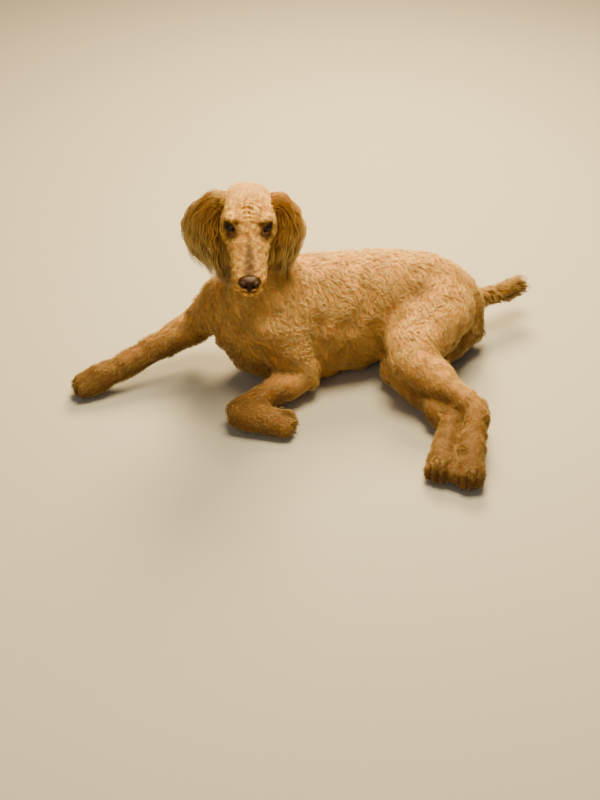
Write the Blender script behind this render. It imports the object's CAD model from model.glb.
"""The looks of the lying standard poodle: one skin under a curly coat, long-haired ears, eyes and nose.

Metres, +Z up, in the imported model's frame. The body's sizes are those of the solids, out to the
tips of the coat. The head's own frame is forward along the muzzle, side to the dog's left, up.
"""

import math
from collections import namedtuple

import bpy
import numpy as np
from mathutils import Matrix, Vector
from mathutils.kdtree import KDTree

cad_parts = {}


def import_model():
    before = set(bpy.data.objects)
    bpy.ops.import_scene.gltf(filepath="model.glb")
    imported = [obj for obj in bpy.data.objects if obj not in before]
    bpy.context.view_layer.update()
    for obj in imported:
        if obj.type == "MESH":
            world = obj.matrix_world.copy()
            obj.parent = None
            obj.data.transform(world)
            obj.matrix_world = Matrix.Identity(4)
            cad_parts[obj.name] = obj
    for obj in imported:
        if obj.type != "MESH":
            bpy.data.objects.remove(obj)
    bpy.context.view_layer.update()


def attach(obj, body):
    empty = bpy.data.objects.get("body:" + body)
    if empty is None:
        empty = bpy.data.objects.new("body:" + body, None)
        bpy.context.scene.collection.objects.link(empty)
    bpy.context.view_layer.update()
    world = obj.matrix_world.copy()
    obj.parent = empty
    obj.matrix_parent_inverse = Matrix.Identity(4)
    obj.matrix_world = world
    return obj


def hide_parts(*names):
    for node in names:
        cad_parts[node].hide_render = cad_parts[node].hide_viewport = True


SIDES = {"left": 1, "right": -1}
UP = np.array((0.0, 0.0, 1.0))
DRAW = np.random.default_rng(11)

# Joints of the skeleton, at the middle of each limb
SHOULDER_R = (-0.190, 0.000, 0.180)
ELBOW_R = (-0.270, 0.018, 0.098)
CARPUS_R = (-0.435, -0.074, 0.045)
TOES_R = (-0.506, -0.104, 0.026)
SHOULDER_L = (-0.122, -0.072, 0.158)
ELBOW_L = (-0.050, -0.096, 0.056)
CARPUS_L = (-0.187, -0.207, 0.034)
TOES_L = (-0.081, -0.226, 0.025)
HIP_L = (0.225, 0.030, 0.138)
STIFLE_L = (0.152, -0.115, 0.112)
HOCK_L = (0.279, -0.238, 0.068)
TOES_HIND_L = (0.248, -0.391, 0.026)
HIP_R = (0.264, 0.094, 0.066)
STIFLE_R = (0.148, -0.060, 0.046)
HOCK_R = (0.230, -0.246, 0.040)
TOES_HIND_R = (0.197, -0.371, 0.025)
TAIL_ROOT = (0.268, 0.092, 0.128)
TAIL_TIP = (0.418, 0.190, 0.084)
FORELEGS = {
    "right": (SHOULDER_R, ELBOW_R, CARPUS_R, TOES_R),
    "left": (SHOULDER_L, ELBOW_L, CARPUS_L, TOES_L),
}
HIND_LEGS = {
    "right": (HIP_R, STIFLE_R, HOCK_R, TOES_HIND_R),
    "left": (HIP_L, STIFLE_L, HOCK_L, TOES_HIND_L),
}

# The lengths of each leg from the body outwards, as (half-width, half-height) at even steps
FORELEG_LENGTHS = {
    "upper_arm": [(0.060, 0.066), (0.054, 0.060), (0.039, 0.042)],
    "forearm": [(0.039, 0.042), (0.035, 0.036), (0.031, 0.031), (0.031, 0.031)],
    "paw": [(0.030, 0.030), (0.033, 0.029), (0.032, 0.026)],
}
HIND_LEG_LENGTHS = {
    "thigh": [(0.086, 0.076), (0.078, 0.064), (0.056, 0.050)],
    "shank": [(0.054, 0.048), (0.043, 0.040), (0.032, 0.034), (0.030, 0.033)],
    "foot": [(0.028, 0.032), (0.027, 0.029), (0.030, 0.031), (0.034, 0.029)],
}
PAWS = ("paw", "foot")
TOE = 0.018
# Where the four toes of a paw lie, as (out, forward) in sizes of a toe
TOE_PLACES = [(-1.2, -0.45), (-0.42, 0), (0.42, 0), (1.2, -0.45)]
TAIL = [(0.024, 0.022), (0.020, 0.019), (0.021, 0.020), (0.023, 0.023)]
TAIL_DIP = np.array((0, 0, -0.020))

# The trunk and the neck as (x, y, z, half-width, half-height)
TRUNK = [
    (-0.212, -0.036, 0.138, 0.046, 0.066),
    (-0.180, -0.028, 0.134, 0.080, 0.110),
    (-0.120, -0.014, 0.127, 0.100, 0.135),
    (-0.045, 0.004, 0.124, 0.106, 0.142),
    (0.035, 0.022, 0.126, 0.103, 0.137),
    (0.100, 0.038, 0.129, 0.096, 0.130),
    (0.175, 0.054, 0.118, 0.094, 0.124),
    (0.235, 0.068, 0.106, 0.086, 0.112),
    (0.288, 0.078, 0.096, 0.058, 0.076),
]
NECK = [
    (-0.132, -0.014, 0.190, 0.086, 0.098),
    (-0.142, -0.022, 0.255, 0.074, 0.084),
    (-0.150, -0.026, 0.315, 0.062, 0.066),
    (-0.155, -0.030, 0.365, 0.056, 0.058),
]

HEAD_CENTRE = Vector((-0.1595, -0.050, 0.390))
HEAD_PITCH = math.radians(7)
HEAD_ROLL = math.radians(3)
HEAD_YAW = math.radians(3.3)
# The bare skull and muzzle, and the lower jaw, as (forward, side, up, half-width, half-height)
SKULL = [
    (-0.070, 0, -0.014, 0.028, 0.024),
    (-0.052, 0, -0.007, 0.043, 0.038),
    (-0.025, 0, -0.002, 0.0515, 0.046),
    (0.005, 0, -0.001, 0.0540, 0.049),
    (0.028, 0, -0.004, 0.0530, 0.046),
    (0.046, 0, -0.0115, 0.0480, 0.0375),
    (0.068, 0, -0.0205, 0.0400, 0.0295),
    (0.100, 0, -0.0232, 0.0350, 0.0260),
    (0.137, 0, -0.0280, 0.0325, 0.0240),
    (0.162, 0, -0.0320, 0.0300, 0.0215),
]
JAW = [
    (0.000, 0, -0.044, 0.036, 0.020),
    (0.045, 0, -0.046, 0.030, 0.017),
    (0.090, 0, -0.0500, 0.0260, 0.0145),
    (0.132, 0, -0.0540, 0.0235, 0.0130),
    (0.157, 0, -0.0550, 0.0205, 0.0115),
]
# The head's other forms on each side, as (forward, side, up) and (length, width, height) halved
HEAD_FORMS = {
    "cheek": ((0.006, 0.034, -0.022), (0.046, 0.021, 0.030)),
    "cheekbone": ((0.030, 0.0415, -0.009), (0.026, 0.0125, 0.014)),
    "brow": ((0.0425, 0.0275, 0.0235), (0.0160, 0.0190, 0.0110)),
    "lip": ((0.131, 0.0205, -0.0430), (0.040, 0.0118, 0.0145)),
}
EYE = np.array((0.0485, 0.0305, 0.0080))
EYE_RADIUS = 0.0112
EYE_TURN = math.radians(16)
EYE_LIFT = math.radians(14)
EYE_SLANT = math.radians(24)
LID = 0.0020
LID_OPENING = (0.0210, 0.0132)
# The socket and the hollows above and below an eye, as (offset from its middle, radii, depth)
EYE_HOLLOWS = [
    ((0.004, -0.0135, -0.001), (0.012, 0.0085, 0.0100), 0.0110),
    ((0.004, 0.0, 0.0120), (0.012, 0.015, 0.0045), 0.0052),
    ((0.006, 0.002, -0.0165), (0.016, 0.012, 0.0065), 0.0026),
]
# The dark hair at an eye's corner and all round it, as (offset, radii, strength, most)
EYE_SHADES = [
    ((0.012, -0.0120, -0.0090), (0.015, 0.0068, 0.0085), 0.95, 1.0),
    ((0.008, -0.0012, -0.0040), (0.022, 0.0125, 0.0125), 1.6, 0.94),
]
NOSE = np.array((0.1725, 0, -0.0245))
NOSE_RADII = (0.0130, 0.0182, 0.0125)

# An ear's leather, as (forward, side, up, half-width front to back, half-thickness)
LEATHER = [
    (-0.022, 0.046, 0.028, 0.018, 0.007),
    (-0.018, 0.060, 0.012, 0.030, 0.008),
    (-0.010, 0.063, -0.025, 0.036, 0.010),
    (0.002, 0.060, -0.068, 0.035, 0.011),
    (0.012, 0.054, -0.104, 0.028, 0.010),
    (0.020, 0.047, -0.128, 0.017, 0.008),
]
# The ear's locks in layers from the head outwards: how far out and how high each is rooted, how
# far out it stands at its middle and at its end, how low it ends, and how many strands a lock has
EAR_LAYERS = [
    (0.047, -0.012, 0.044, 0.026, -0.146, 10),
    (0.053, 0.002, 0.055, 0.034, -0.148, 12),
    (0.054, 0.008, 0.066, 0.041, -0.144, 13),
    (0.054, 0.014, 0.077, 0.049, -0.138, 15),
    (0.053, 0.020, 0.087, 0.058, -0.130, 18),
    (0.052, 0.025, 0.097, 0.068, -0.120, 21),
    (0.050, 0.029, 0.105, 0.077, -0.110, 23),
]
# The right ear hangs further out, by this share of how far the locks stand out
EAR_OUT = {"left": 0.0, "right": 0.26}
# How far the ears lean forward as they hang, and how many locks each layer has
EAR_LEAN = 0.28
EAR_LOCKS = 8
# The ear hair's half-width, half-thickness, wave, wavelength and points
EAR_STYLE = (0.00090, 0.0006, 0.0036, 0.034, 29)

# Each kind of coat: how deep the skin lies under the sizes above, then for its tufts their
# length, rise, half-width, half-thickness, wave and waves in a length, the spacing of the locks
# they gather into, how much they swirl and over what distance, how many there are on a square
# metre, and how many points each has
Coat = namedtuple("Coat", "depth length rise wide thick wave waves apart swirl whorl dense points")
COATS = {
    "body": Coat(0.0080, 0.0150, 0.0050, 0.00085, 0.0004, 0.0030, 0.9, 0.0095, 0.65, 0.050, 58500, 5),
    "leg": Coat(0.0055, 0.0100, 0.0033, 0.00070, 0.0004, 0.0015, 1.0, 0.0070, 0.75, 0.028, 68000, 5),
    "paw": Coat(0.0038, 0.0080, 0.0028, 0.00062, 0.0004, 0.0013, 1.0, 0.0065, 0.95, 0.020, 85000, 5),
    "tail": Coat(0.0045, 0.0200, 0.0085, 0.0010, 0.0006, 0.0022, 1.0, 0.0080, 0.35, 0.040, 70000, 5),
    "crown": Coat(0.0000, 0.0082, 0.0030, 0.00048, 0.0003, 0.0010, 0.8, 0.0060, 0.50, 0.030, 155000, 5),
    "face": Coat(0.0000, 0.0048, 0.0008, 0.00042, 0.0002, 0.0004, 0.9, 0.0045, 0.34, 0.030, 225000, 4),
    "stray": Coat(0.0000, 0.0170, 0.0080, 0.0004, 0.0003, 0.0026, 1.0, 0.0110, 0.50, 0.050, 2000, 5),
}
# The width of a tuft's patch on the coat's map, the skin's least height over the floor, and the
# most triangles in a piece of the coat
PATCH = 0.003
FLOOR_GAP = 0.0012
MOST_IN_PIECE = 190000
# How much of a tuft's shading follows the form that it grows on, as in fine, soft hair
SOFTNESS = 0.85

# Where each part's unwrap lies on the coat's map, as (left, bottom, width, height)
CELLS = {
    "torso": (0.0, 0.0, 0.5, 0.5),
    "neck": (0.5, 0.0, 0.16, 0.5),
    "head": (0.66, 0.0, 0.18, 0.5),
    "ear_left": (0.84, 0.0, 0.08, 0.5),
    "ear_right": (0.92, 0.0, 0.08, 0.5),
}
HIND_NAMES = [f"{name}_{side}" for name in HIND_LEG_LENGTHS for side in SIDES] + ["tail"]
FORE_NAMES = [f"{name}_{side}" for name in FORELEG_LENGTHS for side in SIDES]
for row_names, bottom in ((HIND_NAMES, 0.5), (FORE_NAMES, 0.75)):
    for k, row_name in enumerate(row_names):
        CELLS[row_name] = (k / len(row_names), bottom, 1 / len(row_names), 0.25)

# The colours of the coat and of the skin from root to tip, the share of light that passes under
# the surface, and the strength and depth of the relief
COAT_LOOKS = {
    "coat": (((0.56, 0.255, 0.062), (0.70, 0.335, 0.068), (0.88, 0.465, 0.088)), 0.55, (0.3, 0.0008)),
    "skin": (((0.56, 0.260, 0.062), (0.69, 0.340, 0.076), (0.80, 0.44, 0.100)), 0.12, (0.8, 0.0022)),
}
EAR_COLOURS = ((0.15, 0.050, 0.008), (0.46, 0.210, 0.042), (0.80, 0.47, 0.125))
WARM = (0.40, 0.165, 0.036)
FACE_COLOURS = ((0.95, 0.53, 0.070), (0.44, 0.180, 0.028))
DARK = (0.040, 0.015, 0.004)
STREAK = (0.16, 0.060, 0.012)
# The bare leathers' colour, roughness and grain
NOSE_LEATHER = ((0.022, 0.009, 0.004), 0.42, 900.0)
LID_LEATHER = ((0.020, 0.011, 0.008), 0.45, 1500.0)
# An eye's colours from the middle of the pupil outwards, as (share of half a turn, colour)
EYE_COLOURS = (
    (0.0, (0.002, 0.002, 0.002)),
    (0.085, (0.002, 0.002, 0.002)),
    (0.10, (0.026, 0.010, 0.003)),
    (0.19, (0.016, 0.006, 0.002)),
    (0.225, (0.004, 0.002, 0.001)),
    (0.26, (0.05, 0.030, 0.020)),
)

# Each light's place, size, power and colour. They all point at the middle of the dog
LIGHTS = {
    "back": ((0.20, 1.6, 1.80), 1.0, 190, (1.0, 0.71, 0.33)),
    "top": ((0.15, -0.05, 2.0), 0.8, 100, (1.0, 0.78, 0.42)),
    "front": ((-0.9, -2.0, 1.5), 1.2, 12, (1.0, 0.84, 0.60)),
}
LIT_POINT = Vector((0, 0, 0.15))
SKY = ((1.0, 0.89, 0.72), 0.24)
FLOOR_COLOUR = (0.385, 0.375, 0.35)
FLOOR_REACH = 14.0
CAMERA_PLACE = (-0.0612, -2.1344, 1.5489)
CAMERA_DOWN = math.radians(37.5)
CAMERA_LENS = 56.25


def head_matrix():
    """From the head's own frame (forward, side, up) to the model's."""
    frame = Matrix(((0, 1, 0), (-1, 0, 0), (0, 0, 1))).to_4x4()
    turn = Matrix.Rotation(HEAD_YAW, 4, "Z") @ Matrix.Rotation(HEAD_ROLL, 4, "Y")
    return Matrix.Translation(HEAD_CENTRE) @ turn @ Matrix.Rotation(HEAD_PITCH, 4, "X") @ frame


def moved(points, matrix):
    matrix = np.array(matrix)
    return points @ matrix[:3, :3].T + matrix[:3, 3]


def from_head(points):
    return moved(points, head_matrix())


def to_head(points):
    return moved(points, head_matrix().inverted())


def unit(vectors):
    lengths = np.linalg.norm(vectors, axis=-1, keepdims=True)
    return vectors / np.maximum(lengths, 1e-12)


def smoothstep(low, high, values):
    t = np.clip((values - low) / (high - low), 0, 1)
    return t * t * (3 - 2 * t)


def resample(rows, count):
    """The rows read off a Catmull-Rom spline through them, at count even steps."""
    rows = np.array(rows, float)
    padded = np.vstack([2 * rows[0] - rows[1], rows, 2 * rows[-1] - rows[-2]])
    out = []
    for place in np.linspace(0, len(rows) - 1, count):
        k = min(int(place), len(rows) - 2)
        t = place - k
        a, b, c, d = padded[k : k + 4]
        curve = c - a + t * (2 * a - 5 * b + 4 * c - d + t * (3 * (b - c) + d - a))
        out.append(b + 0.5 * t * curve)
    return np.array(out)


def grid_faces(rings, sides):
    """Two triangles for each cell of a closed band of rings."""
    k = np.arange(sides)
    n = (k + 1) % sides
    faces = []
    for ring in range(rings - 1):
        one, two = ring * sides, (ring + 1) * sides
        faces.append(np.stack([one + k, one + n, two + n], axis=1))
        faces.append(np.stack([one + k, two + n, two + k], axis=1))
    return np.concatenate(faces)


def fan(centre, ring, turned=False):
    """Triangles from a point to each pair of neighbours in a ring of points."""
    pair = [ring, np.roll(ring, -1)]
    return np.stack([np.full(len(ring), centre), *(pair[::-1] if turned else pair)], axis=1)


def tube(rows, sides=32, rings=40, caps=(0.6, 0.6), up=UP, square=2.0, depth=0.0):
    """A closed tube through rows of (x, y, z, half-width, half-height), with rounded ends.

    depth is how far it stays inside those sizes. Gives (points, triangles)."""
    rows = resample(rows, rings)
    rows[:, 3:] -= depth
    tangents = unit(np.gradient(rows[:, :3], axis=0))
    stations = [(r[:3], t, r[3], r[4]) for r, t in zip(rows, tangents)]
    for end, sign, share in ((0, -1, caps[0]), (-1, 1, caps[1])):
        centre, along, wide, high = stations[end]
        for angle in np.radians((20, 40, 60, 75, 86)):
            place = centre + along * sign * share * high * math.sin(angle)
            row = (place, along, wide * math.cos(angle), high * math.cos(angle))
            stations.insert(0 if sign < 0 else len(stations), row)
    angles = 2 * np.pi * (np.arange(sides) + 0.5) / sides
    c, s = np.cos(angles), np.sin(angles)
    c = np.copysign(np.abs(c) ** (2 / square), c)[:, None]
    s = np.copysign(np.abs(s) ** (2 / square), s)[:, None]
    points = []
    for centre, along, wide, high in stations:
        across = unit(np.cross(up, along))
        points.append(centre + across * c * wide + np.cross(along, across) * s * high)
    count = len(stations) * sides
    ends = [points[0].mean(axis=0), points[-1].mean(axis=0)]
    first = fan(count, np.arange(sides), turned=True)
    last = fan(count + 1, np.arange(count - sides, count))
    faces = np.concatenate([grid_faces(len(stations), sides), first, last])
    return np.vstack([*points, *ends]), faces


def ball(centre, radii, turn=None, sides=32, rings=18):
    """An ellipsoid as (points, triangles)."""
    angles = np.pi * np.arange(1, rings) / rings
    around = 2 * np.pi * np.arange(sides) / sides
    flat = np.sin(angles)[:, None]
    x = flat * np.cos(around)
    y = flat * np.sin(around)
    z = np.cos(angles)[:, None] + 0 * x
    points = np.vstack([np.stack([x, y, z], axis=-1).reshape(-1, 3), (0, 0, 1), (0, 0, -1)])
    count = (rings - 1) * sides
    top = fan(count, np.arange(sides))
    low = fan(count + 1, np.arange(count - sides, count), turned=True)
    faces = np.concatenate([grid_faces(rings - 1, sides)[:, ::-1], top, low])
    matrix = np.array(turn or Matrix())[:3, :3]
    return (points * np.array(radii)) @ matrix.T + np.array(centre), faces


def cord(path, radii, up=UP):
    """A thin round tube through the points, closed at both ends, as (points, triangles)."""
    rows = [(*place, radius, radius) for place, radius in zip(path, radii)]
    return tube(rows, sides=10, rings=len(rows) * 2, caps=(1, 1), up=up)


def joined(parts):
    points, faces, start = [], [], 0
    for part_points, part_faces in parts:
        points.append(part_points)
        faces.append(part_faces + start)
        start += len(part_points)
    return np.vstack(points), np.vstack(faces)


def piece(name, points, faces, material=None):
    """An object from points and triangles."""
    mesh = bpy.data.meshes.new(name)
    mesh.vertices.add(len(points))
    mesh.vertices.foreach_set("co", np.ascontiguousarray(points, np.float32).ravel())
    mesh.loops.add(faces.size)
    mesh.loops.foreach_set("vertex_index", np.ascontiguousarray(faces, np.int32).ravel())
    mesh.polygons.add(len(faces))
    mesh.polygons.foreach_set("loop_start", np.arange(0, faces.size, 3, dtype=np.int32))
    mesh.update(calc_edges=True)
    mesh.shade_smooth()
    obj = bpy.data.objects.new(name, mesh)
    bpy.context.scene.collection.objects.link(obj)
    if material:
        mesh.materials.append(material)
    return obj


def evaluated(obj):
    """Applies the object's modifiers."""
    graph = bpy.context.evaluated_depsgraph_get()
    mesh = bpy.data.meshes.new_from_object(obj.evaluated_get(graph))
    obj.modifiers.clear()
    obj.data = mesh
    return obj


def boolean(obj, other, operation):
    modifier = obj.modifiers.new("cut", "BOOLEAN")
    modifier.operation = operation
    modifier.solver = "MANIFOLD"
    modifier.object = other
    evaluated(obj)
    bpy.data.objects.remove(other)


def fused(name, parts, voxel, smooth):
    """Overlapping closed parts as one smooth surface."""
    obj = piece(name, *joined(parts))
    remesh = obj.modifiers.new("remesh", "REMESH")
    remesh.mode = "VOXEL"
    remesh.voxel_size = voxel
    soften = obj.modifiers.new("smooth", "SMOOTH")
    soften.factor = 0.5
    soften.iterations = smooth
    return evaluated(obj)


def arrays(obj):
    """The object's (points, triangles, normals)."""
    mesh = obj.data
    mesh.calc_loop_triangles()
    points = np.empty(len(mesh.vertices) * 3, np.float32)
    mesh.vertices.foreach_get("co", points)
    normals = np.empty(len(mesh.vertices) * 3, np.float32)
    mesh.vertices.foreach_get("normal", normals)
    faces = np.empty(len(mesh.loop_triangles) * 3, np.int32)
    mesh.loop_triangles.foreach_get("vertices", faces)
    return (
        points.reshape(-1, 3).astype(float),
        faces.reshape(-1, 3),
        normals.reshape(-1, 3).astype(float),
    )


def attribute(obj, name, values):
    """Stores a number for each point, or a colour where values has three columns."""
    if values.ndim == 1:
        stored = obj.data.attributes.new(name, "FLOAT", "POINT")
        stored.data.foreach_set("value", values.astype(np.float32))
    else:
        stored = obj.data.attributes.new(name, "FLOAT_COLOR", "POINT")
        colours = np.ones((len(values), 4), np.float32)
        colours[:, :3] = values
        stored.data.foreach_set("color", colours.ravel())


def kind_of(name):
    """The kind of coat that a part of the body carries."""
    if name in ("torso", "neck") or name.startswith(("thigh", "upper_arm")):
        return "body"
    if name == "head":
        return "crown"
    if name == "tail":
        return "tail"
    return "paw" if name.startswith(PAWS) else "leg"


def limb_rows(start, end, radii, bow=0.0):
    start, end = np.array(start), np.array(end)
    rows = []
    for k, (wide, high) in enumerate(radii):
        t = k / (len(radii) - 1)
        rows.append((*(start + (end - start) * t + bow * math.sin(math.pi * t)), wide, high))
    return rows


def body_rows():
    """The rows of each part of the body by name."""
    rows = {"torso": TRUNK, "neck": NECK, "tail": limb_rows(TAIL_ROOT, TAIL_TIP, TAIL, TAIL_DIP)}
    for lengths, legs in ((HIND_LEG_LENGTHS, HIND_LEGS), (FORELEG_LENGTHS, FORELEGS)):
        for side, joints in legs.items():
            for (name, radii), start, end in zip(lengths.items(), joints, joints[1:]):
                rows[f"{name}_{side}"] = limb_rows(start, end, radii)
    return rows


def paw_end(rows):
    """The end of a paw or a foot, and the way that it points."""
    start, end = np.array(rows[0][:3]), np.array(rows[-1][:3])
    return end, unit(end - start)


def toes(end, along):
    """Four toes side by side at the end of a paw."""
    across = unit(np.cross(UP, along))
    turn = Matrix(np.array((along, across, np.cross(along, across))).T.tolist()).to_4x4()
    parts = []
    for out, forward in TOE_PLACES:
        place = end + across * out * TOE + along * forward * TOE - UP * 0.15 * TOE
        parts.append(ball(place, (TOE * 0.98, TOE * 0.50, TOE * 0.76), turn))
    return parts


def toe_gaps(points):
    """How near points are to the gaps between the toes, from 0 to 1."""
    gaps = np.zeros(len(points))
    for name, rows in body_rows().items():
        if name.startswith(PAWS):
            end, along = paw_end(rows)
            away = (points - end) / TOE
            out = np.abs(away @ unit(np.cross(UP, along)))
            gap = np.minimum(out, np.abs(out - 0.81))
            front = smoothstep(-0.9, 0.1, away @ along) * (np.linalg.norm(away, axis=1) < 2.6)
            gaps = np.maximum(gaps, np.exp(-((gap / 0.20) ** 2)) * front)
    return gaps


def body_parts():
    parts = []
    for name, rows in body_rows().items():
        depth = COATS[kind_of(name)].depth
        if name == "neck":
            parts.append(tube(rows, caps=(0.3, 0.3), up=np.array((0.0, 1.0, 0.0)), depth=depth))
        elif name == "torso":
            parts.append(tube(rows, sides=64, rings=80, caps=(0.35, 0.45), depth=depth))
        else:
            parts.append(tube(rows, depth=depth))
        if name.startswith(PAWS):
            parts += toes(*paw_end(rows))
    return parts


def on_side(place, sign):
    return np.array((place[0], place[1] * sign, place[2]))


def eye_frame(side):
    """From an eye's own frame (outward, side, up) to the head's."""
    sign = SIDES[side]
    turn = Matrix.Rotation(EYE_TURN * sign, 4, "Z") @ Matrix.Rotation(-EYE_LIFT, 4, "Y")
    return Matrix.Translation(on_side(EYE, sign)) @ turn @ Matrix.Rotation(EYE_SLANT * sign, 4, "X")


def lid_curve(scale, radius, start=0.0, end=2 * math.pi, count=48):
    """Points in the eye's frame along the almond between the lids, on a ball of that radius."""
    width, height = LID_OPENING[0] / 2 * scale, LID_OPENING[1] / 2 * scale
    arc = (width**2 + height**2) / (2 * height)
    angles = np.linspace(start, end, count)
    y = width * np.cos(angles)
    z = (np.sqrt(arc**2 - y**2) - (arc - height)) * np.sign(np.sin(angles) + 1e-9)
    x = np.sqrt(np.maximum(radius**2 - y**2 - z**2, 0))
    return np.stack([x, y, z], axis=1)


def lid_opening(side):
    """An almond-shaped bar from the eye's middle outwards, for cutting the lids apart."""
    outline = lid_curve(1.0, 0.05, count=65)[:-1, 1:]
    count = len(outline)
    length = 0.04
    inner = np.column_stack([np.zeros(count), outline])
    outer = np.column_stack([np.full(count, length), outline])
    points = np.vstack([inner, outer, (0, 0, 0), (length, 0, 0)])
    back = fan(2 * count, np.arange(count), turned=True)
    front = fan(2 * count + 1, np.arange(count, 2 * count))
    faces = np.concatenate([grid_faces(2, count), back, front])
    return piece("opening", from_head(moved(points, eye_frame(side))), faces)


def head_parts():
    """The skull, muzzle, lids and folds of the face, in the head's frame."""
    parts = [tube(SKULL, sides=64, rings=70, caps=(0.6, 0.55), square=2.2)]
    for side, sign in SIDES.items():
        for place, radii in HEAD_FORMS.values():
            parts.append(ball(on_side(place, sign), radii))
        parts.append(ball(on_side(EYE, sign), (EYE_RADIUS + LID,) * 3))
        for scale, start, end, thick in ((1.42, 0.25, 2.9, 0.0021), (1.40, 3.5, 5.9, 0.0016)):
            path = moved(lid_curve(scale, EYE_RADIUS + 0.0012, start, end, 12), eye_frame(side))
            radii = thick * np.sin(np.linspace(0.35, math.pi - 0.35, 12))
            parts.append(cord(path, radii, up=np.array(eye_frame(side))[:3, 0]))
    return parts


def ripple(points, wavelength):
    """A smooth random field over points, about 1 high, with that wavelength."""
    ways = unit(DRAW.normal(0, 1, (9, 3))) * 2 * np.pi / wavelength
    starts = DRAW.uniform(0, 2 * np.pi, 9)
    return np.sin(points @ ways.T + starts).sum(axis=1) / 2.1


def near(points, centre, radii):
    """How near points are to a centre, from 1 there to 0 far off."""
    return np.exp(-(((points - np.array(centre)) / np.array(radii)) ** 2).sum(axis=1))


def wrinkles(points):
    """How high the folds of the brow stand at points in the head's frame, from -1 to 1."""
    f, s, u = points.T
    fan_out = np.hypot(f - 0.062, u - 0.012) + 0.50 * np.abs(s)
    sway = np.sin(210 * s + 1.0) + np.sin(170 * f + 90 * s)
    folds = np.sin(2 * np.pi * fan_out / 0.0085 + sway)
    return near(points, (0.030, 0, 0.036), (0.022, 0.032, 0.022)) * folds


def sculpted(head):
    """Moves the head's skin in and out for the sockets, the furrows and wrinkles of the brow."""
    points, _, normals = arrays(head)
    out = 0.0005 * ripple(points, 0.012) * (points[:, 0] > 0.05)
    for sign in SIDES.values():
        clear = smoothstep(0.0134, 0.0170, np.linalg.norm(points - on_side(EYE, sign), axis=1))
        hollows = sum(
            depth * near(points, on_side(EYE + offset, sign), radii) for offset, radii, depth in EYE_HOLLOWS
        )
        crease = 0.0010 * near(points, on_side((0.034, 0.030, 0.0395), sign), (0.010, 0.020, 0.0026))
        out -= (hollows + crease) * clear
    out += 0.0019 * wrinkles(points) * (1 + 0.5 * ripple(points, 0.020))
    out -= 0.0018 * near(points, (0.045, 0, 0.030), (0.030, 0.0035, 0.022))
    reshaped(head, points, normals, out)


def reshaped(obj, points, normals, out):
    """Moves an object's points outwards, each by its own distance."""
    points += normals * out[:, None]
    obj.data.vertices.foreach_set("co", points.astype(np.float32).ravel())
    obj.data.update()


def skin():
    """One skin for the whole body, with the mouth a crease between the lips and the jaw."""
    body = fused("body", body_parts(), voxel=0.0050, smooth=6)
    points, _, _ = arrays(body)
    trunk = smoothstep(0.08, 0.14, points[:, 2]) * smoothstep(0.32, 0.26, points[:, 2])
    group = body.vertex_groups.new(name="trunk")
    for k in np.flatnonzero(trunk > 0.02):
        group.add([int(k)], trunk[k], "REPLACE")
    soften = body.modifiers.new("smooth", "SMOOTH")
    soften.factor = 0.5
    soften.iterations = 70
    soften.vertex_group = "trunk"
    evaluated(body)
    points, _, normals = arrays(body)
    out = 0.0013 * ripple(points, 0.055) + 0.0007 * ripple(points, 0.028) - 0.0045 * toe_gaps(points)
    reshaped(body, points, normals, out)
    head = fused("head_skin", head_parts(), voxel=0.0013, smooth=5)
    sculpted(head)
    head.data.transform(head_matrix())
    for side in SIDES:
        boolean(head, lid_opening(side), "DIFFERENCE")
    boolean(body, head, "UNION")
    jaw = fused("jaw_skin", [tube(JAW, sides=48, rings=50, caps=(0.5, 0.9), square=2.3)], 0.0016, 3)
    jaw.data.transform(head_matrix())
    body_points, body_faces, _ = arrays(body)
    jaw_points, jaw_faces, _ = arrays(jaw)
    for old in (body, jaw):
        bpy.data.objects.remove(old)
    points, faces = joined([(body_points, body_faces), (jaw_points, jaw_faces)])
    points[:, 2] = np.maximum(points[:, 2], FLOOR_GAP)
    return piece("skin", points, faces)


def nearest_part(points):
    """The parts' names, and for each point its part's index, how far along and round that part it
    is, and which way the coat lies."""
    rows = {**body_rows(), "head": [(*from_head(np.array(row[:3])), *row[3:]) for row in SKULL]}
    best = np.full(len(points), np.inf)
    index = np.zeros(len(points), int)
    along = np.zeros(len(points))
    around = np.zeros(len(points))
    lie = np.zeros_like(points)
    total = np.zeros(len(points))
    for number, (name, part) in enumerate(rows.items()):
        samples = resample(part, 24)
        tangents = unit(np.gradient(samples[:, :3], axis=0))
        radius = samples[:, 3:].mean(axis=1)
        gaps = np.linalg.norm(points[:, None] - samples[None, :, :3], axis=2) / radius
        nearest = gaps.argmin(axis=1)
        gap = gaps[np.arange(len(points)), nearest]
        centre, axis = samples[nearest, :3], tangents[nearest]
        across = unit(np.cross(UP + 0.01, axis))
        away = points - centre
        weight = np.exp(-7 * gap)
        lie += coat_lie(name, away, axis) * weight[:, None]
        total += weight
        closer = gap < best
        best = np.where(closer, gap, best)
        index = np.where(closer, number, index)
        along = np.where(closer, nearest / 23, along)
        angle = np.arctan2((away * np.cross(axis, across)).sum(axis=1), (away * across).sum(axis=1))
        around = np.where(closer, angle / (2 * np.pi) + 0.5, around)
    return list(rows), index, along, around, unit(lie)


def coat_lie(name, away, axis):
    """Which way the coat lies on a part, before it is laid on the skin."""
    if name == "torso":
        return unit(away) * (0, 0.5, 0) + (0.55, 0, -0.75)
    if name == "neck":
        return np.broadcast_to((0.10, -0.05, -1.0), away.shape)
    if name == "head":
        back = from_head(np.array((-1.0, 0, 0))) - from_head(np.zeros(3))
        return back + unit(away) * 0.3 - UP * 0.25
    return axis - UP * 0.35


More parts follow.
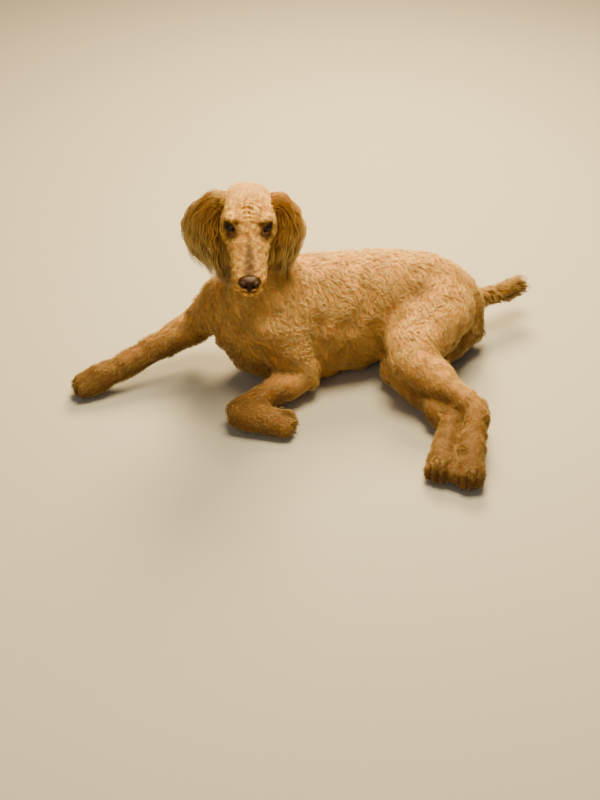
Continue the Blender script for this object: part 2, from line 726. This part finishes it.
def sampled(obj, weights, dense):
    """Places drawn over an object, as many on a square metre as dense times the weight there.

    Gives (places, normals)."""
    points, faces, normals = arrays(obj)
    corners = points[faces]
    area = np.linalg.norm(np.cross(corners[:, 1] - corners[:, 0], corners[:, 2] - corners[:, 0]), axis=1) / 2
    chance = area * weights[faces].mean(axis=1)
    count = int(chance.sum() * dense)
    chosen = DRAW.choice(len(faces), count, p=chance / chance.sum())
    share = DRAW.dirichlet((1, 1, 1), count)[:, :, None]
    places = (corners[chosen] * share).sum(axis=1)
    return places, unit((normals[faces[chosen]] * share).sum(axis=1))


def tuft_mesh(paths, outs, widths, thicks):
    """Closed, tapered, three-sided tufts along paths of shape (tufts, steps, 3).

    Gives (points, triangles, along, over) where over is each point's place across its tuft."""
    count, steps, _ = paths.shape
    tangents = unit(np.gradient(paths, axis=1))
    across = unit(np.cross(outs[:, None], tangents))
    lift = np.cross(tangents, across)
    t = np.linspace(0, 1, steps)[: steps - 1]
    taper = (np.minimum(0.75 + 1.5 * t, 1) * (1 - t**1.7))[None, :, None]
    rings = paths[:, :-1]
    wide = across[:, :-1] * taper * widths[:, None, None]
    high = lift[:, :-1] * taper * thicks[:, None, None]
    corners = np.stack([rings - wide - high * 0.5, rings + wide - high * 0.5, rings + high], axis=2)
    points = np.concatenate([corners.reshape(count, -1, 3), paths[:, -1:]], axis=1)
    each = 3 * (steps - 1)
    band = grid_faces(steps - 1, 3)
    tip = np.array([(each - 3, each - 2, each), (each - 2, each - 1, each), (each - 1, each - 3, each)])
    faces = np.vstack([band, tip, [(0, 2, 1)]])
    size = each + 1
    all_faces = (faces[None] + (np.arange(count) * size)[:, None, None]).reshape(-1, 3)
    along = np.append(np.repeat(t, 3), 1.0)
    over = np.append(np.tile((0.0, 1.0, 0.5), steps - 1), 0.5)
    return points.reshape(-1, 3), all_faces, np.tile(along, count), np.tile(over, count)


def waved(roots, normals, lie, style, size, clumps=True):
    """Paths for wavy tufts that gather into locks, sized by size. Gives (paths, tone)."""
    count, steps, rise = len(roots), style.points, style.rise
    flat = unit(lie - normals * (lie * normals).sum(axis=1, keepdims=True))
    side = np.cross(normals, flat)
    swing = style.swirl * ripple(roots, style.whorl) + DRAW.normal(0, 0.30, count)
    flat = unit(flat + side * swing[:, None])
    t = np.linspace(0, 1, steps)[None, :, None]
    phase = DRAW.uniform(0, 2 * np.pi, count)
    size = size * DRAW.uniform(0.8, 1.15, count)
    tone = DRAW.normal(0, 1, count)
    if clumps:
        group = gathered(roots, style.apart)
        phase = phase[group] + DRAW.normal(0, 0.5, count)
        tone = 0.45 * tone[group] + 0.22 * tone
        flat = unit(flat[group] + 0.5 * flat)
    tone = tone + 0.60 * ripple(roots, 0.038) + 0.45 * ripple(roots, 0.110)
    side = unit(np.cross(normals, flat))
    reach = (style.length * size)[:, None, None]
    lift = (rise * size)[:, None, None]
    turn = 2 * np.pi * style.waves * t + phase[:, None, None]
    grow = style.wave * np.minimum(t * 2.5, 1)
    path = roots[:, None] - normals[:, None] * rise * 0.12
    path = path + flat[:, None] * reach * (0.3 * t + 0.7 * t**1.5)
    path = path + normals[:, None] * lift * np.sin(np.pi / 2 * np.minimum(t * 1.6, 1)) * (1 - 0.30 * t**2)
    path = path + side[:, None] * grow * np.sin(turn)
    path = path + normals[:, None] * 0.5 * grow * np.cos(turn)
    if clumps:
        leader = path[group]
        pull = 0.56 * t**1.2
        path = path * (1 - pull) + (leader + (path - leader) * 0.15) * pull
    return path, tone


def gathered(roots, apart):
    """For each root the index of the tuft that leads its lock."""
    order = DRAW.permutation(len(roots))
    keys = {}
    for k in order:
        keys.setdefault(tuple((roots[k] // apart).astype(int)), k)
    leaders = np.array(list(keys.values()))
    tree = KDTree(len(leaders))
    for number, k in enumerate(leaders):
        tree.insert(roots[k], number)
    tree.balance()
    return np.array([leaders[tree.find(root)[1]] for root in roots])


def on_map(names, index, along, around):
    """The places of roots on the coat's map."""
    cells = np.array([CELLS[name] for name in names])[index]
    shares = np.stack([around, along], axis=1)
    return cells[:, :2] + PATCH + shares * (cells[:, 2:] - 2 * PATCH)


def almond(points, side):
    """How far out points lie from an eye's middle, where the lids' edge is 1."""
    x, y, z = moved(to_head(points), eye_frame(side).inverted()).T
    out = np.hypot(y / (LID_OPENING[0] / 2), z / (LID_OPENING[1] / 2))
    return np.where(x > 0, out, 9.0)


def from_nose(points):
    """How far out points lie from the nose's middle, where its surface is 1."""
    return np.linalg.norm((to_head(points) - NOSE) / NOSE_RADII, axis=1)


def eye_marks(points, head):
    """How dark the skin and coat are round the eyes, at points also given in the head's frame."""
    dark = np.zeros(len(points))
    for side, sign in SIDES.items():
        out = almond(points, side)
        edge = np.exp(-(((out - 1.0) / np.where(out > 1, 0.62, 0.25)) ** 2)) * (out < 9)
        dark = np.maximum(dark, edge)
        for offset, radii, strength, most in EYE_SHADES:
            shade = near(head, on_side(EYE + offset, sign), radii)
            dark = np.maximum(dark, np.minimum(strength * shade, most))
    return dark


def muzzle_marks(points, head):
    """How dark the skin and coat are on the muzzle: mottled, with the bridge, lips and nose's edge."""
    f, s, u = head.T
    mottled = 1 + 0.45 * np.sin(900 * s + 5 * np.sin(400 * f)) * np.sin(800 * f + 4 * np.sin(500 * s))
    muzzle = smoothstep(0.062, 0.105, f) * smoothstep(0.180, 0.150, f) * smoothstep(-0.050, -0.036, u)
    width = 0.0070 + 0.0070 * smoothstep(0.07, 0.16, f)
    bridge = np.exp(-((s / width) ** 2)) * smoothstep(0.050, 0.120, f) * smoothstep(-0.028, -0.016, u)
    lips = np.exp(-(((u + 0.0505) / 0.0022) ** 2)) * smoothstep(0.05, 0.07, f)
    rim = smoothstep(1.25, 1.08, from_nose(points))
    return np.maximum.reduce([0.36 * mottled * muzzle, 0.88 * mottled**0.5 * bridge, 0.8 * lips, rim])


def markings(points):
    """How apricot, how dark and how pale the skin and coat are at points, as three columns."""
    head = to_head(points)
    f, s, u = head.T
    face = (np.abs(s) < 0.075) & (u > -0.085) & (f < 0.2)
    pale = face * smoothstep(-0.005, 0.03, f + 0.25 * u)
    folds = 0.22 * np.clip(-wrinkles(head), 0, 1)
    out = np.hypot(points[:, 0] - 0.02, points[:, 1] - 0.03)
    low = smoothstep(0.14, 0.05, points[:, 2]) * smoothstep(0.16, 0.26, out)
    feet = (0.30 + 0.22 * smoothstep(0.26, 0.40, out)) * low
    tail = smoothstep(0.28, 0.36, points[:, 0]) * smoothstep(0.05, 0.12, points[:, 1])
    folded_paw = 0.95 * near(points, (-0.088, -0.219, 0.052), (0.019, 0.014, 0.022))
    places = [folds, eye_marks(points, head), muzzle_marks(points, head) * face]
    places += [feet, 0.42 * tail, folded_paw, 0.80 * toe_gaps(points)]
    dark = 1 - (1 - np.clip(np.maximum.reduce(places), 0, 1)) ** 2
    return np.stack([np.maximum(0.8 * low, 0.7 * tail), dark, pale], axis=1)


def on_crown(points):
    """How surely points on the head carry the crown's longer hair, from 0 to 1."""
    f, _, u = to_head(points).T
    front = smoothstep(-0.012, 0.010, u - 0.9 * f) * smoothstep(0.036, 0.016, f)
    return np.maximum(front, smoothstep(-0.028, -0.042, f + 0.2 * u))


def finish_coat(obj, faces, along, over, forms, uv, tone, marks):
    """Stores what the coat's material and map read, and turns its shading towards its form."""
    each = len(along) // len(tone)
    attribute(obj, "along", along)
    attribute(obj, "over", over)
    attribute(obj, "tone", np.repeat(tone, each))
    attribute(obj, "marks", np.repeat(marks, each, axis=0))
    spots = np.repeat(uv, each, axis=0)
    shift = np.stack([over - 0.5, along - 0.5 - 0.15 * (over == 0.5)], axis=1)
    layer = obj.data.uv_layers.new(name="OFBake")
    corners = (spots + PATCH * shift)[faces.ravel()]
    layer.data.foreach_set("uv", corners.astype(np.float32).ravel())
    smooth = np.concatenate([np.repeat(forms[:, :-1], 3, axis=1), forms[:, -1:]], axis=1).reshape(-1, 3)
    turned = unit(SOFTNESS * smooth + (1 - SOFTNESS) * arrays(obj)[2])
    obj.data.normals_split_custom_set_from_vertices(turned)
    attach(obj, "root")


def coat_pieces(name, paths, outs, forms, tufts, uv, tone, marks, material):
    """Tufts as pieces that each stay within the most triangles in one.

    outs is which way each tuft faces, and forms the form's own normals along it."""
    paths[..., 2] = np.maximum(paths[..., 2], FLOOR_GAP)
    each = 6 * (paths.shape[1] - 2) + 4
    count = math.ceil(len(paths) * each / MOST_IN_PIECE)
    order = np.argsort(paths[:, 0, 0])
    for number, chosen in enumerate(np.array_split(order, count)):
        widths = tufts[0] * DRAW.uniform(0.75, 1.2, len(chosen))
        thicks = np.full(len(chosen), tufts[1])
        points, faces, along, over = tuft_mesh(paths[chosen], outs[chosen], widths, thicks)
        obj = piece(f"{name}_{number + 1}", points, faces, material)
        finish_coat(obj, faces, along, over, forms[chosen], uv[chosen], tone[chosen], marks[chosen])


def hair_size(kind, points):
    """How long the hair is at points, against its kind's own length."""
    if kind == "crown":
        return 0.45 + 0.55 * on_crown(points)
    if kind == "face":
        f, _, u = to_head(points).T
        return 1.25 - 0.45 * smoothstep(0.05, 0.12, f)
    return np.ones(len(points))


def coat(body, material):
    """The coat of each kind over the skin, its tufts gathered into wavy locks."""
    points, _, _ = arrays(body)
    names, index, _, _, _ = nearest_part(points)
    kinds = np.array([kind_of(name) for name in names])[index]
    clear = points[:, 2] > 0.006
    crown = on_crown(points)
    eyes = np.minimum(almond(points, "left"), almond(points, "right"))
    bare = (eyes < 1.25) | (from_nose(points) < 1.12)
    shares = {kind: ((kinds == kind) & clear).astype(float) for kind in ("body", "leg", "paw", "tail")}
    shares["crown"] = (kinds == "crown") * crown
    shares["face"] = (kinds == "crown") * (1 - crown) * ~bare
    shares["stray"] = (clear & (kinds != "crown")).astype(float)
    for kind, style in COATS.items():
        roots, normals = sampled(body, shares[kind], style.dense * SHARE)
        _, index, along, around, lie = nearest_part(roots)
        paths, tone = waved(roots, normals, lie, style, hair_size(kind, roots), clumps=kind != "stray")
        uv = on_map(names, index, along, around)
        forms = np.broadcast_to(normals[:, None], paths.shape)
        tufts = (style.wide, style.thick)
        coat_pieces(f"coat_{kind}", paths, normals, forms, tufts, uv, tone, markings(roots), material)


def ear_guide(side, layer, column):
    """The path of one long lock of an ear in the head's frame, from the head outwards and down."""
    root, top, middle, end, low, _ = layer
    middle += EAR_OUT[side] * (middle - root)
    middle *= 1 - 0.14 * column**2
    pull = 2 * middle - (root + end) / 2
    t = np.linspace(0, 1, EAR_STYLE[4])
    start = np.exp(-t / 0.05)
    low += DRAW.uniform(-0.009, 0.007) + 0.015 * column
    top += 0.020 * min(column, 0)
    u = top + (low - top) * t**1.4 + 0.007 * np.sin(np.pi * np.minimum(t * 5, 1)) - 0.004 * start
    f = -0.012 - EAR_LEAN * u + column * (0.026 + 0.016 * np.sin(np.pi * t) - 0.004 * t)
    s = root * (1 - t) ** 2 + 2 * pull * t * (1 - t) + end * t**2 - 0.016 * start
    return np.stack([f, s * SIDES[side], u], axis=1)


def ear_coat(side, material):
    """An ear's long wavy hair, gathered into locks that overlap down its length."""
    wide, thick, wave, wavelength, steps = EAR_STYLE
    t = np.linspace(0, 1, steps)[None, :, None]
    paths, tones, spots = [], [], []
    for number, layer in enumerate(EAR_LAYERS):
        strands = int(layer[-1] * SHARE)
        for k in range(EAR_LOCKS):
            column = 2 * (k + DRAW.uniform(-0.25, 0.25)) / (EAR_LOCKS - 1) - 1
            guide = ear_guide(side, layer, np.clip(column, -1.05, 1.05))
            away = DRAW.uniform((-1, -1, -1), (1, 1, 1), (strands, 3)) * (0.011, 0.0075 * SIDES[side], 0.006)
            path = guide[None] + away[:, None] * (1 - 0.68 * t**1.3)
            waves = np.linalg.norm(guide[-1] - guide[0]) / wavelength
            turn = 2 * np.pi * waves * t + DRAW.uniform(0, 2 * np.pi)
            turn = turn + DRAW.normal(0, 0.3, strands)[:, None, None]
            grow = wave * np.minimum(t * 4, 1) * DRAW.uniform(0.6, 1.2, strands)[:, None, None]
            sway = 0.0050 * t * np.sin(turn * wavelength / 0.055 + DRAW.uniform(0, 6))
            path = path + sway * np.array((1.0, 0.5 * SIDES[side], 0))
            path = path + grow * np.sin(turn) * np.array((1.0, 0, 0))
            path = path + grow * 0.7 * np.cos(turn) * np.array((0, SIDES[side], 0))
            paths.append(path)
            tones.append(DRAW.normal() + 0.4 * DRAW.normal(0, 1, strands))
            place = (number + 0.5 + away[:, 2] * 60) / len(EAR_LAYERS)
            spots.append(np.column_stack([place, (column + 1) / 2 + away[:, 0] * 8]))
    paths = np.concatenate(paths)
    middle = np.full(paths.shape[:2], 0.062 * SIDES[side])
    axis = np.stack([-0.012 - EAR_LEAN * paths[..., 2], middle], axis=-1)
    forms = unit(np.concatenate([paths[..., :2] - axis, np.full((*paths.shape[:2], 1), 0.012)], axis=-1))
    forms = forms @ np.array(head_matrix())[:3, :3].T
    paths = from_head(paths)
    outs = np.broadcast_to((SIDES[side] * 1.0, -0.35, 0.25), (len(paths), 3))
    along, around = np.clip(np.concatenate(spots), 0, 1).T
    uv = on_map([f"ear_{side}"], np.zeros(len(paths), int), along, around)
    marks = np.broadcast_to((1.0, 0, 0), (len(paths), 3))
    tone = np.concatenate(tones)
    coat_pieces(f"ear_hair_{side}", paths, outs, forms, (wide, thick), uv, tone, marks, material)


def ear_skin(side, material):
    """An ear's leather."""
    sign = SIDES[side]
    rows = [(f, s * sign, u, wide, thick) for f, s, u, wide, thick in LEATHER]
    points, faces = tube(rows, sides=40, rings=30, caps=(0.6, 0.8), up=np.array((0, sign * 1.0, 0)))
    obj = piece(f"ear_leather_{side}", from_head(points), faces, material)
    attribute(obj, "along", np.full(len(points), 0.12))
    attribute(obj, "tone", np.zeros(len(points)))
    attribute(obj, "marks", np.broadcast_to((1.0, 0.25, 0), (len(points), 3)))
    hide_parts(f"ear_{side}")
    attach(obj, "root")


def eyeball(side, material):
    """An eye with its cornea raised over the iris."""
    points, faces = ball((0, 0, 0), (1, 1, 1), Matrix.Rotation(math.pi / 2, 4, "Y"), sides=64, rings=64)
    angle = np.arccos(np.clip(points[:, 0], -1, 1))
    bulge = 0.0011 * np.clip(1 - (angle / math.radians(44)) ** 2, 0, 1)
    points = points * (EYE_RADIUS + bulge)[:, None]
    obj = piece(f"eyeball_{side}", from_head(moved(points, eye_frame(side))), faces, material)
    attribute(obj, "gaze", angle / math.pi)
    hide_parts(f"eye_{side}")
    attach(obj, "root")


def lid_rims(material):
    """The dark bare edges of the lids."""
    parts = []
    for side in SIDES:
        path = moved(lid_curve(1.03, EYE_RADIUS + 0.0014), eye_frame(side))
        out = np.array(eye_frame(side))[:3, 0]
        parts.append(cord(path, np.full(len(path), 0.0010), up=out))
    points, faces = joined(parts)
    obj = piece("lid_rims", from_head(points), faces, material)
    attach(obj, "root")


def nose(material):
    """The nose pad: broad above and narrow below, with its wings, nostrils and groove."""
    parts = [ball(NOSE + (-0.0015, 0, 0.0035), (0.0125, 0.0180, 0.0082))]
    parts.append(ball(NOSE + (0.0035, 0, -0.0035), (0.0088, 0.0125, 0.0080)))
    parts.append(ball(NOSE + (0.0040, 0, -0.0105), (0.0068, 0.0062, 0.0060)))
    for sign in SIDES.values():
        parts.append(ball(NOSE + on_side((0.0045, 0.0112, 0.0000), sign), (0.0086, 0.0074, 0.0076)))
    obj = fused("nose_pad", parts, voxel=0.0006, smooth=5)
    for sign in SIDES.values():
        turn = Matrix.Rotation(math.radians(-38) * sign, 4, "X")
        hole = ball(NOSE + on_side((0.0122, 0.0080, -0.0020), sign), (0.0080, 0.0046, 0.0036), turn)
        boolean(obj, piece("hole", *hole), "DIFFERENCE")
        slit = ball(NOSE + on_side((0.0085, 0.0148, -0.0048), sign), (0.0080, 0.0060, 0.0014), turn)
        boolean(obj, piece("slit", *slit), "DIFFERENCE")
    groove = ball(NOSE + (0.0125, 0, -0.0085), (0.0040, 0.0007, 0.0100))
    boolean(obj, piece("groove", *groove), "DIFFERENCE")
    obj.data.transform(head_matrix())
    obj.data.materials.clear()
    obj.data.materials.append(material)
    obj.data.shade_smooth()
    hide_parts("nose")
    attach(obj, "root")


def claws(material):
    """A short dark claw at the end of each toe."""
    parts = []
    for name, rows in body_rows().items():
        if not name.startswith(PAWS):
            continue
        end, along = paw_end(rows)
        across = unit(np.cross(UP, along))
        for out, forward in TOE_PLACES:
            start = end + (across * out + along * (forward + 0.45)) * TOE - UP * 0.62 * TOE
            middle = start + along * 0.0030 - UP * 0.0010
            path = np.array([start, middle, start + along * 0.0050 - UP * 0.0030])
            path[:, 2] = np.maximum(path[:, 2], 0.003)
            parts.append(cord(path, (0.0018, 0.0015, 0.0006)))
    obj = piece("claws", *joined(parts), material)
    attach(obj, "root")


def new_material(name, roughness):
    material = bpy.data.materials.new(name)
    material.use_nodes = True
    tree = material.node_tree
    shader = tree.nodes["Principled BSDF"]
    shader.inputs["Roughness"].default_value = roughness
    return material, tree, shader


def relief(tree, shader, height, strength, distance):
    """Lets a height roughen the surface without moving it."""
    node = tree.nodes.new("ShaderNodeBump")
    node.inputs["Strength"].default_value = strength
    node.inputs["Distance"].default_value = distance
    tree.links.new(height, node.inputs["Height"])
    tree.links.new(node.outputs["Normal"], shader.inputs["Normal"])


def read_attribute(tree, name, output="Fac"):
    node = tree.nodes.new("ShaderNodeAttribute")
    node.attribute_name = name
    return node.outputs[output]


def ramp(tree, value, stops):
    """A colour ramp from (place, colour) stops."""
    node = tree.nodes.new("ShaderNodeValToRGB")
    elements = node.color_ramp.elements
    while len(elements) < len(stops):
        elements.new(1.0)
    for element, (place, colour) in zip(elements, stops):
        element.position = place
        element.color = (*colour, 1)
    tree.links.new(value, node.inputs["Fac"])
    return node.outputs["Color"]


def mixed(tree, share, one, two):
    """A colour between two colours. Each value is a socket, a colour or a number."""
    node = tree.nodes.new("ShaderNodeMix")
    node.data_type = "RGBA"
    sockets = [node.inputs[0], node.inputs[6], node.inputs[7]]
    for socket, value in zip(sockets, (share, one, two)):
        if isinstance(value, bpy.types.NodeSocket):
            tree.links.new(value, socket)
        elif isinstance(value, tuple):
            socket.default_value = (*value, 1)
        else:
            socket.default_value = value
    return node.outputs[2]


def noise(tree, scale, detail=3.0):
    """A noise over the object's own coordinates."""
    place = tree.nodes.new("ShaderNodeTexCoord")
    node = tree.nodes.new("ShaderNodeTexNoise")
    node.inputs["Scale"].default_value = scale
    node.inputs["Detail"].default_value = detail
    tree.links.new(place.outputs["Object"], node.inputs["Vector"])
    return node.outputs["Fac"]


def ranged(tree, value, low, high, new_low, new_high):
    node = tree.nodes.new("ShaderNodeMapRange")
    for socket, number in zip(node.inputs[1:5], (low, high, new_low, new_high)):
        socket.default_value = number
    tree.links.new(value, node.inputs["Value"])
    return node.outputs["Result"]


def coat_material(name):
    """The coat's colours from root to tip, with the markings that the skin shares."""
    (roots, middles, tips), under, (strength, distance) = COAT_LOOKS[name]
    material, tree, shader = new_material(name, 0.62)
    along = read_attribute(tree, "along")
    tone = read_attribute(tree, "tone")
    marks = tree.nodes.new("ShaderNodeSeparateColor")
    tree.links.new(read_attribute(tree, "marks", "Color"), marks.inputs["Color"])
    apricot, dark, pale = (marks.outputs[k] for k in range(3))
    colour = ramp(tree, along, ((0.0, roots), (0.45, middles), (1.0, tips)))
    colour = mixed(tree, apricot, colour, ramp(tree, along, tuple(zip((0.0, 0.35, 1.0), EAR_COLOURS))))
    warm = ranged(tree, noise(tree, 14.0), 0.40, 0.64, 0.0, 0.60)
    colour = mixed(tree, warm, colour, mixed(tree, 0.55, colour, WARM))
    mottled = ranged(tree, noise(tree, 115.0), 0.38, 0.58, 0.0, 1.0)
    colour = mixed(tree, pale, colour, mixed(tree, 0.75, colour, mixed(tree, mottled, *FACE_COLOURS)))
    light = tree.nodes.new("ShaderNodeHueSaturation")
    tree.links.new(ranged(tree, tone, -2.0, 2.0, 0.66, 1.28), light.inputs["Value"])
    tree.links.new(colour, light.inputs["Color"])
    colour = mixed(tree, dark, light.outputs["Color"], DARK)
    if name == "coat":
        height = hairs(tree, along, tone)
        colour = mixed(tree, ranged(tree, height, 0.35, 0.65, 0.24, 0.0), colour, STREAK)
    else:
        height = noise(tree, 330.0, 4.0)
    tree.links.new(colour, shader.inputs["Base Color"])
    relief(tree, shader, height, strength, distance)
    shader.inputs["Sheen Weight"].default_value = 0.10
    shader.inputs["Sheen Roughness"].default_value = 0.4
    shader.inputs["Sheen Tint"].default_value = (1.0, 0.76, 0.42, 1)
    shader.inputs["Subsurface Weight"].default_value = under
    shader.inputs["Subsurface Radius"].default_value = (1.0, 0.60, 0.25)
    shader.inputs["Subsurface Scale"].default_value = 0.006
    shader.inputs["Specular IOR Level"].default_value = 0.15
    return material


def hairs(tree, along, tone):
    """A noise drawn out along each tuft, as fine as its single hairs."""
    place = tree.nodes.new("ShaderNodeCombineXYZ")
    values = (read_attribute(tree, "over"), along, tone)
    for socket, value, scale in zip(place.inputs, values, (7.0, 1.6, 31.0)):
        step = tree.nodes.new("ShaderNodeMath")
        step.operation = "MULTIPLY"
        step.inputs[1].default_value = scale
        tree.links.new(value, step.inputs[0])
        tree.links.new(step.outputs[0], socket)
    node = tree.nodes.new("ShaderNodeTexNoise")
    node.inputs["Scale"].default_value = 1.0
    tree.links.new(place.outputs[0], node.inputs["Vector"])
    return node.outputs["Fac"]


def eye_material():
    """A very dark brown iris round a black pupil under a wet, glossy surface."""
    material, tree, shader = new_material("eye_glass", 0.12)
    tree.links.new(ramp(tree, read_attribute(tree, "gaze"), EYE_COLOURS), shader.inputs["Base Color"])
    shader.inputs["Specular IOR Level"].default_value = 0.15
    shader.inputs["Coat Weight"].default_value = 0.6
    shader.inputs["Coat Roughness"].default_value = 0.03
    return material


def leather_material(name, colour, roughness, scale):
    """Bare dark skin with a fine pebbled grain."""
    material, tree, shader = new_material(name, roughness)
    blotched = mixed(tree, noise(tree, 120.0), colour, tuple(1.7 * c for c in colour))
    tree.links.new(blotched, shader.inputs["Base Color"])
    cells = tree.nodes.new("ShaderNodeTexVoronoi")
    cells.inputs["Scale"].default_value = scale
    place = tree.nodes.new("ShaderNodeTexCoord")
    tree.links.new(place.outputs["Object"], cells.inputs["Vector"])
    relief(tree, shader, cells.outputs["Distance"], 0.5, 0.0004)
    shader.inputs["Specular IOR Level"].default_value = 0.15
    return material


def studio():
    """The pale floor, the soft lights and the photograph's camera."""
    mesh = bpy.data.meshes.new("floor")
    corners = [(x * FLOOR_REACH, y * FLOOR_REACH, 0) for x, y in ((-1, -1), (1, -1), (1, 1), (-1, 1))]
    mesh.from_pydata(corners, [], [(0, 1, 2, 3)])
    floor = bpy.data.objects.new("floor", mesh)
    bpy.context.scene.collection.objects.link(floor)
    material, tree, shader = new_material("floor", 0.8)
    shader.inputs["Base Color"].default_value = (*FLOOR_COLOUR, 1)
    mesh.materials.append(material)
    world = bpy.data.worlds.new("studio")
    bpy.context.scene.world = world
    world.use_nodes = True
    background = world.node_tree.nodes["Background"]
    background.inputs["Color"].default_value = (*SKY[0], 1)
    background.inputs["Strength"].default_value = SKY[1]
    for name, (place, size, power, colour) in LIGHTS.items():
        data = bpy.data.lights.new(name, "AREA")
        data.size = size
        data.energy = power
        data.color = colour
        lamp = bpy.data.objects.new(name, data)
        lamp.location = place
        lamp.rotation_euler = (LIT_POINT - Vector(place)).to_track_quat("-Z", "Y").to_euler()
        bpy.context.scene.collection.objects.link(lamp)
    data = bpy.data.cameras.new("camera")
    data.sensor_fit = "AUTO"
    data.sensor_width = 36
    data.lens = CAMERA_LENS
    camera = bpy.data.objects.new("camera", data)
    camera.location = CAMERA_PLACE
    camera.rotation_euler = (math.radians(90) - CAMERA_DOWN, 0, 0)
    bpy.context.scene.collection.objects.link(camera)
    bpy.context.scene.camera = camera


def main():
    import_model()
    hair = coat_material("coat")
    bare = coat_material("skin")
    glass = eye_material()
    leather = leather_material("nose_leather", *NOSE_LEATHER)
    rims = leather_material("lid_leather", *LID_LEATHER)
    body = skin()
    points, _, _ = arrays(body)
    marks = markings(points)
    attribute(body, "along", 0.18 + 0.40 * marks[:, 2])
    attribute(body, "tone", np.zeros(len(points)))
    attribute(body, "marks", marks)
    body.data.materials.append(bare)
    flesh = [*body_rows(), "head", "jaw"]
    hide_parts(*flesh)
    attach(body, "root")
    coat(body, hair)
    for side in SIDES:
        ear_skin(side, bare)
        ear_coat(side, hair)
        eyeball(side, glass)
    lid_rims(rims)
    nose(leather)
    claws(leather)
    studio()


SHARE = 1.0
main()
